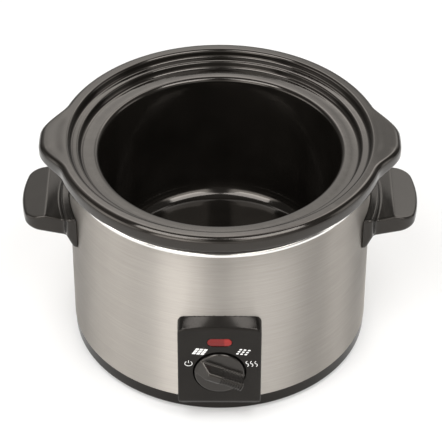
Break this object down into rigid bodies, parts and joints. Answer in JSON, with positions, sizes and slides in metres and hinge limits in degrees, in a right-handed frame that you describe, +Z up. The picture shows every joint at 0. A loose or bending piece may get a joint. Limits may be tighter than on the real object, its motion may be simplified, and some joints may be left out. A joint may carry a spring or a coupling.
{
  "type": "slow cooker",
  "caption": "Round electric slow cooker: a black stoneware crock lifts out of a heated brushed-steel housing with side handles and a front control knob; lid and cord left out.",
  "frame": {"origin": "on the crock's vertical axis, in the plane that the four feet stand on", "axes": "+X to the right handle, -Y to the front with the control panel and knob, +Z up"},
  "size_m": [0.316, 0.2688, 0.1846],
  "materials": {
    "brushed_shell": "satin",
    "polished_ring": "polished",
    "liner_metal": "satin",
    "mica_band": "matte",
    "plated_steel": "satin",
    "ceramic_white": "matte",
    "glass_fibre": "matte",
    "black_matte": "satin",
    "rubber_feet": "matte",
    "black_gloss": "gloss",
    "white_ink": "matte",
    "red_lens": "gloss",
    "lamp_glass": "gloss",
    "white_plastic": "satin",
    "switch_plastic": "matte",
    "brass_parts": "satin",
    "wire_brown": "satin",
    "wire_blue": "satin",
    "wire_black": "satin",
    "wire_white": "satin",
    "wire_red": "satin",
    "wire_green": "satin",
    "black_glaze": "gloss",
    "knob_plastic": "satin"
  },
  "bodies": {
    "housing": {"outer_shell": "brushed_shell", "rim_ring": "polished_ring", "heating_liner": "liner_metal", "heater_band": "mica_band", "heater_clamp": "plated_steel", "heater_terminals": "ceramic_white", "insulation_wrap": "glass_fibre", "heat_shield": "liner_metal", "base_ring": "black_matte", "bottom_plate": "plated_steel", "feet": "rubber_feet", "foot_screws": "plated_steel", "handle_left": "black_gloss", "handle_right": "black_gloss", "handle_plates": "plated_steel", "handle_screws": "plated_steel", "control_panel": "black_matte", "panel_screws": "plated_steel", "panel_legend": "white_ink", "indicator_lens": "red_lens", "indicator_lamp": "lamp_glass", "lamp_holder": "white_plastic", "switch_body": "switch_plastic", "switch_cover": "switch_plastic", "switch_nut": "brass_parts", "switch_terminals": "brass_parts", "thermal_cutout": "ceramic_white", "cutout_bracket": "plated_steel", "terminal_block": "white_plastic", "terminal_screws": "brass_parts", "center_stud": "plated_steel", "stud_spacers": "plated_steel", "stud_nut": "plated_steel", "cord_gland": "black_matte", "gland_nut": "black_matte", "earth_terminal": "brass_parts", "wire_live": "wire_brown", "wire_neutral": "wire_blue", "wire_switched": "wire_black", "wire_heater": "wire_white", "wires_lamp": "wire_red", "wire_earth": "wire_green"},
    "crock": {"crock": "black_glaze"},
    "control_knob": {"knob": "knob_plastic", "knob_shaft": "plated_steel", "switch_rotor": "white_plastic"}
  },
  "joints": [
    {"name": "crock_lift", "type": "slide", "parent": "housing", "child": "crock", "axis": [0, 0, 1], "range_m": [0, 0.19]},
    {"name": "knob_turn", "type": "hinge", "parent": "housing", "child": "control_knob", "pos_m": [0, -0.128, 0.0505], "axis": [0, 1, 0], "range_deg": [0, 138]}
  ]
}
